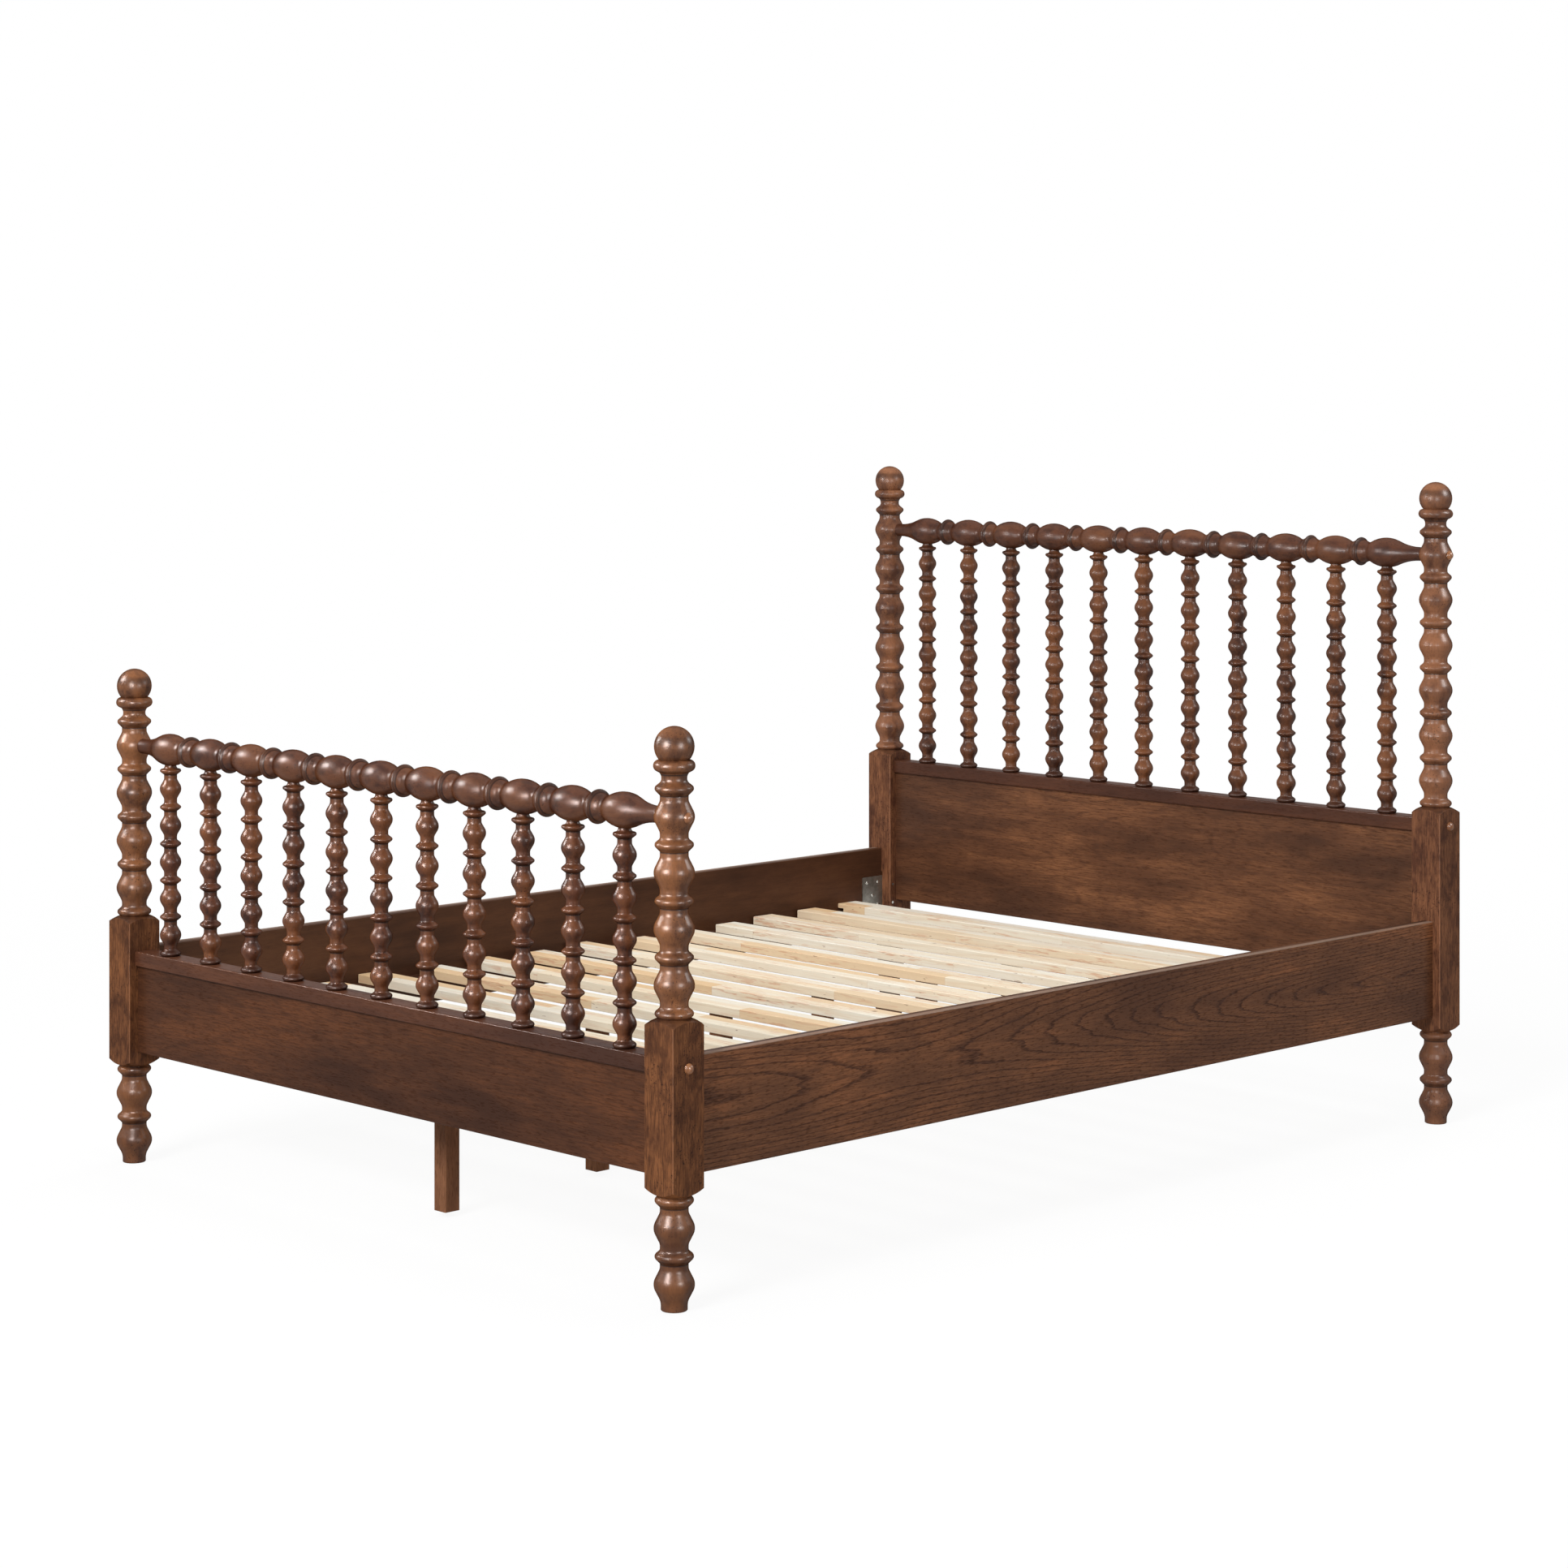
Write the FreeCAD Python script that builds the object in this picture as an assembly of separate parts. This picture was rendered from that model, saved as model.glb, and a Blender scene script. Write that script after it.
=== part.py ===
import FreeCAD, Part
import math
import os
from FreeCAD import Vector

# Turned spindle bed for a queen-size mattress. Millimetres, +Z up. The origin is on the floor under
# the middle of the four posts, +X is the sleeper's right as seen from the foot, +Y points to the head.

# ---- mattress space ----------------------------------------------------------------------------
mattress_width = 1524.0
mattress_length = 2032.0
mattress_side_gap = 3.5        # between the mattress and each side rail
mattress_end_gap = 12.0        # between the mattress and each cap rail

# ---- posts: 70 mm stock, square where the rails join, turned above and below ---------------------
post_width = 70.0
post_edge_round = 2.0
block_bottom = 200.0           # corners of the square part above the floor
foot_block_top = 465.2
head_block_top = 630.8
foot_bulb_count = 4            # turned bulbs above the square part
head_bulb_count = 6
leg_ring_count = 2             # rings in the leg below the square part
post_pitch = 91.8              # ring to ring
block_to_ring = 18.8           # above the square part
leg_block_to_ring = 20.3       # below it
shoulder_share = 0.6           # where the lathe-cut end of the square part meets the ring
shoulder_neck_radius = 27.5
post_bulb_radius = 33.8
post_ring_radius = 32.3
post_ring_round = 5.9
post_ring_run = 12.8           # from a ring up to the end of its cove
post_ring_fall = 11.6          # from a ring down to the crease under it
post_ring_cove = 6.0
post_neck_radius = 23.6
post_neck_offset = 17.2        # from a ring to where the bulb's slope begins
bulb_round_share = 0.765       # a bulb's round and cove, as shares of its height from neck to crest
bulb_cove_share = 0.485
crease_round = 0.8             # under every ring
ball_radius = 33.3
ball_bite = 3.0                # how deep the ball sits in the collar
collar_radius = 34.7
collar_round = 9.8
collar_fall = 12.0             # from the collar's middle down to the crease under it
collar_crease_radius = 24.0
finial_cove_height = 7.8       # from that crease down to the cove's narrowest place
finial_cove_rise = 17.5        # from the first ring up to there
finial_ring_run = 15.5
finial_ring_cove = 8.0
cove_radius = 21.3
foot_tip_radius = 22.1
foot_tip_height = 8.0
foot_tip_cove = 26.0
foot_tip_chamfer = 1.2

# ---- side rails and slat ledges ------------------------------------------------------------------
rail_thickness = 25.0
rail_face_offset = 18.0        # outer face of a side rail from the post's middle
rail_bottom = 220.0
rail_height = 194.0
board_edge_round = 2.0
ledge_width = 55.0
ledge_height = 20.0
ledge_end_gap = 5.0            # between a ledge and the rail brackets
ledge_screw_count = 8

# ---- end frames: cap rail, panel, spindles, turned top rail --------------------------------------
cap_depth = 44.0
cap_height = 28.0
cap_edge_round = 2.5
foot_cap_drop = 53.2           # from the corners of the square part down to the cap rail's top
head_cap_drop = 11.8
panel_thickness = 30.0
foot_panel_bottom = 217.0
head_panel_bottom = 295.0
tongue_thickness = 12.0
tongue_depth = 12.0            # into the posts
tongue_shoulder = 12.0         # left above and below each end tongue
top_tongue_height = 8.0        # into the groove under the cap rail
fit = 0.15                     # play round every glued or screwed joint

spindle_count = 11
spindle_end_margin = 86.5      # from a post's face to the middle of the outermost spindle
foot_spindle_bulbs = 5
head_spindle_bulbs = 7
spindle_bulb_radius = 20.3
spindle_ring_radius = 20.0
spindle_ring_round = 3.3
spindle_ring_run = 9.4
spindle_ring_fall = 8.0
spindle_ring_cove = 3.5
spindle_neck_radius = 12.3
spindle_neck_share = 0.407     # ring to the bulb's slope, as a share of half a bulb pitch
base_ring_rise = 4.6
base_ring_radius = 19.8
base_ring_round = 4.4
top_neck_radius = 11.0
top_neck_rise = 9.5
top_ring_drop = 39.5           # from the top rail's axis down to a spindle's last ring
spindle_socket_depth = 18.0
spindle_tenon_radius = 8.0
spindle_tenon_length = 14.0

top_rail_bulb_radius = 30.5
top_rail_bulb_share = 0.806    # the bulb's round, as a share of its two rounds from crest to neck
top_rail_ring_radius = 29.3    # thin ring between two bulbs
top_rail_ring_round = 2.6
top_rail_crease_radius = 24.0  # where the ring's steep flank meets its shoulder
top_rail_crease_offset = 5.0
top_rail_neck_radius = 19.7
top_rail_neck_share = 0.166    # ring to neck, as a share of the distance between spindles
top_rail_end_radius = 14.0
top_rail_end_neck = 5.0        # straight length outside the post
top_rail_tenon = 20.0          # length inside the post

# ---- slats and their support legs ----------------------------------------------------------------
slat_count = 14
slat_end_margin = 114.75       # from the posts' faces to the middle of the first and last slat
slat_width = 58.0
slat_thickness = 18.0
slat_end_gap = 22.5            # from a slat's end to the side rail
slat_lay = (9, -12, 10, -20, 6, -9, 8, -14, 19, -6, 10, -14, -14, 0)  # each slat's place off the middle
slat_drop = 114.0              # from the side rail's top edge down to the slats' tops
slat_edge_round = 1.5
lip_length = 17.0              # rebated ends of the slat nearest the head, which fills the width
lip_thickness = 9.5
lip_gap = 1.0                  # between a lip and the side rail
support_slats = (1, 4, 6, 8, 10, 12, 14)  # numbers of the slats that carry a leg
support_lay = (0, -60, -11, -9, 14, -2, 0)  # each leg's place off the middle
support_width = 33.0
support_floor_gap = 10.0       # closes when the slats bend under a sleeper
support_edge_round = 1.5
hanger_radius = 3.0
hanger_in_leg = 28.0
hanger_in_slat = 13.0

# ---- hardware --------------------------------------------------------------------------------------
bolt_radius = 4.0
bolt_length = 80.0
bolt_head_radius = 6.5
bolt_head_height = 5.5
counterbore_radius = 7.5
counterbore_depth = 14.0
insert_radius = 6.0
insert_length = 13.0
button_radius = 9.3
button_rise = 7.5
button_stem_radius = 7.3
button_stem_length = 6.0

bracket_width = 64.0
bracket_height = 80.0
bracket_drop = 63.0            # from the side rail's top edge
bracket_thickness = 2.5
bracket_corner = 3.0
hook_reach = 17.0
hook_height = 26.0
hook_centres = (19.0, 61.0)    # hooks' middles below the bracket's top
hook_notch_width = 6.4
hook_notch_depth = 16.0
hook_notch_middle = 9.0        # from the end of the rail
hook_drop = 15.0               # room above a hook to lift it off its pin
pin_radius = 3.0
pin_length = 52.0
screw_side = 14.5              # outer screws from the bracket's two upright edges
screw_drops = (13.0, 43.5, 65.0)  # high pair, single and low pair below the bracket's top
screw_radius = 2.2
screw_head_radius = 4.2
screw_head_rise = 1.6
screw_length = 18.0
ledge_screw_bite = 15.0        # length inside the side rail
ledge_screw_head_radius = 4.5

# ---- places worked out from the sizes above --------------------------------------------------------
half_post = post_width / 2
collar_centre = collar_radius - collar_round
ball_rise = math.sqrt((ball_radius + collar_round - ball_bite) ** 2 - collar_centre ** 2)
finial_height = finial_cove_rise + finial_cove_height + collar_fall + ball_rise + ball_radius
rail_inner_x = mattress_width / 2 + mattress_side_gap
post_x = rail_inner_x + rail_thickness - rail_face_offset
post_y = mattress_length / 2 + mattress_end_gap + cap_depth / 2
rail_end_y = post_y - half_post
inner_x = post_x - half_post
rail_top = rail_bottom + rail_height
foot_cap_top = foot_block_top - foot_cap_drop
head_cap_top = head_block_top - head_cap_drop
spindle_pitch = 2 * (inner_x - spindle_end_margin) / (spindle_count - 1)
top_rail_neck_offset = top_rail_neck_share * spindle_pitch
top_bulb_run = spindle_pitch / 2 - top_rail_neck_offset
top_bulb_drop = top_rail_bulb_radius - top_rail_neck_radius
top_rail_bulb_round = top_rail_bulb_share * (top_bulb_run ** 2 + top_bulb_drop ** 2) / (2 * top_bulb_drop)
slat_length = 2 * (rail_inner_x - slat_end_gap)
slat_pitch = 2 * (rail_end_y - slat_end_margin) / (slat_count - 1)
slat_top = rail_top - slat_drop
slat_bottom = slat_top - slat_thickness
bracket_top = rail_top - bracket_drop
bracket_bottom = bracket_top - bracket_height
ledge_screw_length = ledge_width + ledge_screw_bite


def box(x0, x1, y0, y1, z0, z1):
    return Part.makeBox(x1 - x0, y1 - y0, z1 - z0, Vector(x0, y0, z0))


def eased_bar(bounds, axis, radius):
    """A straight bar whose four edges along one axis are rounded."""
    bar = box(*bounds)
    edges = [e for e in bar.Edges if abs(abs(e.tangentAt(e.FirstParameter).dot(axis)) - 1) < 1e-6]
    return bar.makeFillet(radius, edges)


def rod(start, direction, radius, length):
    return Part.makeCylinder(radius, length, start, direction)


def arc(centre_r, centre_z, radius, angle0, angle1):
    """An arc in the XZ half plane, from angle0 to angle1 in radians."""
    points = [Vector(centre_r + radius * math.cos(a), 0, centre_z + radius * math.sin(a))
              for a in (angle0, (angle0 + angle1) / 2, angle1)]
    return Part.Arc(*points).toShape()


def line(r0, z0, r1, z1):
    return Part.makeLine(Vector(r0, 0, z0), Vector(r1, 0, z1))


def crest_to_neck(crest_z, crest_r, crest_round, neck_z, neck_r, cove_round=None):
    """The round of a bead or bulb, a straight slope and the cove into its neck.

    Without a cove_round there is no straight slope and the cove is as large as fits.
    """
    rise = abs(neck_z - crest_z)
    way = 1 if neck_z > crest_z else -1
    drop = crest_r - neck_r
    if cove_round is None:
        lean = 2 * math.atan(drop / rise)
        cove_round = (rise * rise + drop * drop) / (2 * drop) - crest_round
    else:
        slack = rise * rise - drop * (2 * (crest_round + cove_round) - drop)
        lean = 2 * math.atan(drop / (rise + math.sqrt(slack)))
    start_r = crest_r - crest_round * (1 - math.cos(lean))
    start_z = crest_z + way * crest_round * math.sin(lean)
    end_r = neck_r + cove_round * (1 - math.cos(lean))
    end_z = neck_z - way * cove_round * math.sin(lean)
    edges = [arc(crest_r - crest_round, crest_z, crest_round, 0, way * lean)]
    if math.hypot(end_r - start_r, end_z - start_z) > 1e-6:
        edges.append(line(start_r, start_z, end_r, end_z))
    edges.append(arc(neck_r + cove_round, neck_z, cove_round, way * (lean - math.pi), -way * math.pi))
    return edges


def neck_to_crest(neck_z, neck_r, crest_z, crest_r, crest_round, cove_round=None):
    return crest_to_neck(crest_z, crest_r, crest_round, neck_z, neck_r, cove_round)[::-1]


def over_ring(neck_z, neck_r, ring_z, ring):
    """From a neck down to a ring's crest, through its cove."""
    radius, rounding, run, fall, cove = ring
    edges = [line(neck_r, neck_z, neck_r, ring_z + run)]
    return edges + neck_to_crest(ring_z + run, neck_r, ring_z, radius, rounding, cove)


def under_ring(ring_z, ring, neck_z, neck_r):
    """From a ring's crest down to the sharp crease under it and on to a neck."""
    radius, rounding, run, fall, cove = ring
    edges = crest_to_neck(ring_z, radius, rounding, ring_z - fall, neck_r, crease_round)
    return edges + [line(neck_r, ring_z - fall, neck_r, neck_z)]


def over_bulb(neck_z, neck_r, bulb_z, bulb_r):
    run = neck_z - bulb_z
    return neck_to_crest(neck_z, neck_r, bulb_z, bulb_r, bulb_round_share * run, bulb_cove_share * run)


def under_bulb(bulb_z, bulb_r, neck_z, neck_r):
    run = bulb_z - neck_z
    return crest_to_neck(bulb_z, bulb_r, bulb_round_share * run, neck_z, neck_r, bulb_cove_share * run)


def turned(edges):
    """A solid of revolution about Z from an open outline that starts and ends on the axis."""
    points = Part.sortEdges(edges)[0]
    wire = Part.Wire(points)
    ends = [v.Point for v in wire.OrderedVertexes]
    closed = Part.Wire(points + [Part.makeLine(ends[-1], ends[0])])
    return Part.Face(closed).revolve(Vector(0, 0, 0), Vector(0, 0, 1), 360)


def bead_column(ring_z, rings, pitch, ring, bulb_radius, neck_radius, neck_offset):
    """Edges down a column: ring, neck, bulb, neck and so on, with a ring at both ends."""
    edges = []
    for i in range(rings - 1):
        upper = ring_z - i * pitch
        bulb_z = upper - pitch / 2
        lower = upper - pitch
        edges += under_ring(upper, ring, upper - neck_offset, neck_radius)
        edges += over_bulb(upper - neck_offset, neck_radius, bulb_z, bulb_radius)
        edges += under_bulb(bulb_z, bulb_radius, lower + neck_offset, neck_radius)
        edges += over_ring(lower + neck_offset, neck_radius, lower, ring)
    return edges


# ---- turned posts ----------------------------------------------------------------------------------
def finial(first_ring):
    """Ball, collar and cove at the head of a post, down to its first ring."""
    cove_z = first_ring + finial_cove_rise
    crease_z = cove_z + finial_cove_height
    collar_z = crease_z + collar_fall
    ball_z = collar_z + ball_rise
    span = math.hypot(collar_centre, ball_rise)
    along = (span ** 2 + ball_radius ** 2 - collar_round ** 2) / (2 * span)
    off = math.sqrt(ball_radius ** 2 - along ** 2)
    ux, uz = collar_centre / span, -ball_rise / span
    valley_r = along * ux - off * uz
    valley_z = ball_z + along * uz + off * ux
    deepening = collar_crease_radius - cove_radius
    cove_round = (finial_cove_height ** 2 + deepening ** 2) / (2 * deepening)
    cove_turn = math.asin(finial_cove_height / cove_round)
    edges = [arc(0, ball_z, ball_radius, math.pi / 2, math.atan2(valley_z - ball_z, valley_r)),
             arc(collar_centre, collar_z, collar_round,
                 math.atan2(valley_z - collar_z, valley_r - collar_centre), 0)]
    edges += crest_to_neck(collar_z, collar_radius, collar_round, crease_z, collar_crease_radius,
                           crease_round)
    edges.append(arc(cove_radius + cove_round, cove_z, cove_round, math.pi - cove_turn, math.pi))
    edges.append(line(cove_radius, cove_z, cove_radius, first_ring + finial_ring_run))
    edges += neck_to_crest(first_ring + finial_ring_run, cove_radius, first_ring, post_ring_radius,
                           post_ring_round, finial_ring_cove)
    return edges


def shoulder(corner_z, way, to_ring):
    """The end of the square part as the lathe leaves it, out to beyond its corners."""
    corner_r = half_post * math.sqrt(2) + 1
    neck_z = corner_z + way * shoulder_share * to_ring
    edges = crest_to_neck(corner_z + way * to_ring, post_ring_radius, post_ring_round, neck_z,
                          shoulder_neck_radius, crease_round)
    edges.append(Part.Arc(Vector(shoulder_neck_radius, 0, neck_z),
                          Vector((shoulder_neck_radius + corner_r) / 2 + 1, 0, (corner_z + neck_z) / 2),
                          Vector(corner_r, 0, corner_z - way * 1.0)).toShape())
    return edges


def post(block_top, bulbs):
    """One whole post about its own axis, without its mortises."""
    ring = (post_ring_radius, post_ring_round, post_ring_run, post_ring_fall, post_ring_cove)
    beads = (post_pitch, ring, post_bulb_radius, post_neck_radius, post_neck_offset)
    first_ring = block_top + block_to_ring + bulbs * post_pitch
    leg_ring = block_bottom - leg_block_to_ring
    low_ring = leg_ring - (leg_ring_count - 1) * post_pitch
    low_bulb = low_ring - post_pitch / 2
    corner_r = half_post * math.sqrt(2) + 1
    edges = finial(first_ring)
    edges += bead_column(first_ring, bulbs + 1, *beads)
    edges += shoulder(block_top, 1, block_to_ring)
    edges.append(line(corner_r, block_top - 1.0, corner_r, block_bottom + 1.0))
    edges += shoulder(block_bottom, -1, leg_block_to_ring)
    edges += bead_column(leg_ring, leg_ring_count, *beads)
    edges += under_ring(low_ring, ring, low_ring - post_neck_offset, post_neck_radius)
    edges += over_bulb(low_ring - post_neck_offset, post_neck_radius, low_bulb, post_bulb_radius)
    bulb_round = bulb_round_share * (post_pitch / 2 - post_neck_offset)
    edges += crest_to_neck(low_bulb, post_bulb_radius, bulb_round, foot_tip_height, foot_tip_radius,
                           foot_tip_cove)
    edges.append(line(foot_tip_radius, foot_tip_height, foot_tip_radius, foot_tip_chamfer))
    edges.append(line(foot_tip_radius, foot_tip_chamfer, foot_tip_radius - foot_tip_chamfer, 0))
    edges.append(line(foot_tip_radius - foot_tip_chamfer, 0, 0, 0))
    stock = eased_bar((-half_post, half_post, -half_post, half_post, 0, first_ring + finial_height),
                      Vector(0, 0, 1), post_edge_round)
    return turned(edges).common(stock)


def top_rail_height(block_top, bulbs):
    """The top rail enters the middle of the post's highest bulb."""
    return block_top + block_to_ring + (bulbs - 0.5) * post_pitch


# ---- hardware in one corner, with +X outwards and +Y away from the bed's middle ----------------------
def outer_bolt_cuts(z, face_x, inner_end_x):
    """Counterbore from the outer face and clearance hole inwards."""
    sink = rod(Vector(face_x + 1, 0, z), Vector(-1, 0, 0), counterbore_radius,
               counterbore_depth + 1)
    hole = rod(Vector(face_x, 0, z), Vector(-1, 0, 0), bolt_radius + fit, face_x - inner_end_x)
    return sink.fuse(hole)


def bolt(z, face_x):
    seat = face_x - counterbore_depth
    head = rod(Vector(seat, 0, z), Vector(1, 0, 0), bolt_head_radius, bolt_head_height)
    return head.fuse(rod(Vector(seat, 0, z), Vector(-1, 0, 0), bolt_radius, bolt_length))


def insert_nut(z, outer_end_x):
    start = Vector(outer_end_x, 0, z)
    body = rod(start, Vector(-1, 0, 0), insert_radius, insert_length)
    return body.cut(rod(start, Vector(-1, 0, 0), bolt_radius + fit / 2, insert_length))


def button_cap(z, face_x):
    """Turned mushroom plug that hides a bolt head."""
    dome_radius = (button_radius ** 2 + button_rise ** 2) / (2 * button_rise)
    edge_angle = math.asin(button_radius / dome_radius)
    dome_centre = button_rise - dome_radius
    edges = [arc(0, dome_centre, dome_radius, math.pi / 2, math.pi / 2 - edge_angle),
             line(button_radius, 0, button_stem_radius, 0),
             line(button_stem_radius, 0, button_stem_radius, -button_stem_length),
             line(button_stem_radius, -button_stem_length, 0, -button_stem_length)]
    cap = turned(edges)
    cap.rotate(Vector(0, 0, 0), Vector(0, 1, 0), 90)
    cap.translate(Vector(face_x, 0, z))
    return cap


def hook_heights():
    return [bracket_top - centre for centre in hook_centres]


def bracket_x():
    """Inner and outer side of the bracket, from the post's middle."""
    outer = rail_inner_x - post_x
    return outer - bracket_thickness, outer


def rail_bracket():
    """Steel plate on the side rail's inner face, with two hooks that drop over pins in the post."""
    x0, x1 = bracket_x()
    end = -half_post
    plate = box(x0, x1, end - bracket_width, end, bracket_bottom, bracket_top)
    corners = [e for e in plate.Edges
               if abs(abs(e.tangentAt(e.FirstParameter).x) - 1) < 1e-6
               and abs(e.CenterOfMass.y - (end - bracket_width)) < 1e-6]
    plate = plate.makeFillet(bracket_corner, corners)
    for z in hook_heights():
        low, high = z - hook_height / 2, z + hook_height / 2
        hook = box(x0, x1, end, end + hook_reach, low, high)
        middle = end + hook_notch_middle
        notch = box(x0, x1, middle - hook_notch_width / 2, middle + hook_notch_width / 2, low,
                    low + hook_notch_depth)
        plate = plate.fuse(hook.cut(notch))
    for y, z in bracket_screw_places():
        plate = plate.cut(rod(Vector(x0, y, z), Vector(1, 0, 0), screw_radius + fit,
                              bracket_thickness))
    return plate.removeSplitter()


def bracket_screw_places():
    """Two screws high, one in the middle and two low."""
    near = -half_post - screw_side
    far = -half_post - bracket_width + screw_side
    middle = -half_post - bracket_width / 2
    high, centre, low = (bracket_top - drop for drop in screw_drops)
    return [(near, high), (far, high), (middle, centre), (near, low), (far, low)]


def bracket_screws():
    """Pan-head wood screws through the bracket into the side rail."""
    x0 = bracket_x()[0]
    screws = []
    for y, z in bracket_screw_places():
        shank = rod(Vector(x0, y, z), Vector(1, 0, 0), screw_radius, screw_length)
        dome_radius = (screw_head_radius ** 2 + screw_head_rise ** 2) / (2 * screw_head_rise)
        ball = Part.makeSphere(dome_radius, Vector(x0 + dome_radius - screw_head_rise, y, z))
        head = ball.common(box(x0 - dome_radius, x0, y - dome_radius, y + dome_radius,
                               z - dome_radius, z + dome_radius))
        screws.append(head.fuse(shank))
    return screws


def hook_pins():
    """Steel pins across the slots in the post, one for each hook."""
    y = -half_post + hook_notch_middle
    pins = []
    for z in hook_heights():
        pin_z = z - hook_height / 2 + hook_notch_depth - pin_radius
        pins.append(rod(Vector(-half_post, y, pin_z), Vector(1, 0, 0), pin_radius, pin_length))
    return pins


def hook_slots():
    """Slots in the post's face for the hooks, tall enough to lift them off, and the pin holes."""
    x0, x1 = bracket_x()
    cuts = []
    for z, pin in zip(hook_heights(), hook_pins()):
        cuts.append(box(x0 - 2 * fit, x1 + 2 * fit, -half_post, -half_post + hook_reach + 1.5,
                        z - hook_height / 2 - 1, z + hook_height / 2 + hook_drop))
        low = pin.BoundBox.Center
        cuts.append(rod(Vector(-half_post, low.y, low.z), Vector(1, 0, 0), pin_radius + fit,
                        pin_length + fit))
    return cuts


# ---- the four corners --------------------------------------------------------------------------------
def corner_post(block_top, bulbs, cap_top, panel_bottom):
    """A post with its sockets, bolt holes, panel mortise and hook slots."""
    rail_z = top_rail_height(block_top, bulbs)
    bolt_z = cap_top - cap_height / 2
    body = post(block_top, bulbs)
    socket_end = -post_bulb_radius + top_rail_tenon + fit
    socket = rod(Vector(-half_post - 1, 0, rail_z), Vector(1, 0, 0), top_rail_end_radius + fit,
                 socket_end + half_post + 1)
    mortise = box(-half_post, -half_post + tongue_depth + fit,
                  -tongue_thickness / 2 - fit, tongue_thickness / 2 + fit,
                  panel_bottom + tongue_shoulder - fit,
                  cap_top - cap_height - tongue_shoulder + fit)
    cuts = [socket, mortise,
            outer_bolt_cuts(rail_z, post_bulb_radius, socket_end - 1),
            outer_bolt_cuts(bolt_z, half_post, -half_post)]
    for cut in cuts + hook_slots():
        body = body.cut(cut)
    return body


def corner(shape, side, end):
    """Take a corner's piece from its local frame to its place: side +1 right, end +1 head."""
    placed = shape
    if side < 0:
        placed = placed.mirror(Vector(0, 0, 0), Vector(1, 0, 0))
    if end < 0:
        placed = placed.mirror(Vector(0, 0, 0), Vector(0, 1, 0))
    placed = placed.copy()
    placed.translate(Vector(side * post_x, end * post_y, 0))
    return placed


# ---- end frames, modelled at y = 0 --------------------------------------------------------------------
def spindle_places():
    return [(i - (spindle_count - 1) / 2) * spindle_pitch for i in range(spindle_count)]


def spindle(cap_top, rail_z, bulbs):
    """One turned spindle between a cap rail and the top rail."""
    base_z = cap_top + base_ring_rise
    top_z = rail_z - top_ring_drop
    pitch = (top_z - base_z) / bulbs
    offset = spindle_neck_share * pitch / 2
    ring = (spindle_ring_radius, spindle_ring_round, spindle_ring_run, spindle_ring_fall,
            spindle_ring_cove)
    end_z = rail_z - top_rail_bulb_radius + spindle_socket_depth
    neck_z = top_z + top_neck_rise
    last_ring = base_z + pitch
    low_bulb = base_z + pitch / 2
    base_centre = base_ring_radius - base_ring_round
    start_angle = -math.asin(base_ring_rise / base_ring_round) if base_ring_rise < base_ring_round \
        else -math.pi / 2
    start_r = base_centre + base_ring_round * math.cos(start_angle)
    start_z = base_z + base_ring_round * math.sin(start_angle)
    edges = [line(0, end_z, top_neck_radius, end_z),
             line(top_neck_radius, end_z, top_neck_radius, neck_z)]
    edges += neck_to_crest(neck_z, top_neck_radius, top_z, spindle_ring_radius, spindle_ring_round)
    edges += bead_column(top_z, bulbs, pitch, ring, spindle_bulb_radius, spindle_neck_radius, offset)
    edges += under_ring(last_ring, ring, last_ring - offset, spindle_neck_radius)
    edges += over_bulb(last_ring - offset, spindle_neck_radius, low_bulb, spindle_bulb_radius)
    edges += under_bulb(low_bulb, spindle_bulb_radius, base_z + offset, spindle_neck_radius)
    edges += over_ring(base_z + offset, spindle_neck_radius, base_z,
                       (base_ring_radius, base_ring_round, spindle_ring_run, 0, spindle_ring_cove))
    edges.append(arc(base_centre, base_z, base_ring_round, 0, start_angle))
    if start_z > cap_top + 1e-6:
        edges.append(line(start_r, start_z, start_r, cap_top))
    edges.append(line(start_r, cap_top, spindle_tenon_radius, cap_top))
    edges.append(line(spindle_tenon_radius, cap_top, spindle_tenon_radius,
                      cap_top - spindle_tenon_length))
    edges.append(line(spindle_tenon_radius, cap_top - spindle_tenon_length, 0,
                      cap_top - spindle_tenon_length))
    return turned(edges)


def thin_ring(ring_at, way):
    """One side of the ring between two bulbs: neck, rounded shoulder, crease and steep flank."""
    crease = ring_at + way * top_rail_crease_offset
    neck = ring_at + way * top_rail_neck_offset
    rise = top_rail_crease_radius - top_rail_neck_radius
    run = top_rail_neck_offset - top_rail_crease_offset
    shoulder_round = (run * run + rise * rise) / (4 * rise)
    flat_r = top_rail_ring_radius - top_rail_ring_round
    edges = neck_to_crest(neck, top_rail_neck_radius, crease, top_rail_crease_radius, shoulder_round)
    edges.append(line(top_rail_crease_radius, crease, flat_r, ring_at + way * top_rail_ring_round))
    edges.append(arc(flat_r, ring_at, top_rail_ring_round, way * math.pi / 2, 0))
    return edges


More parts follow.
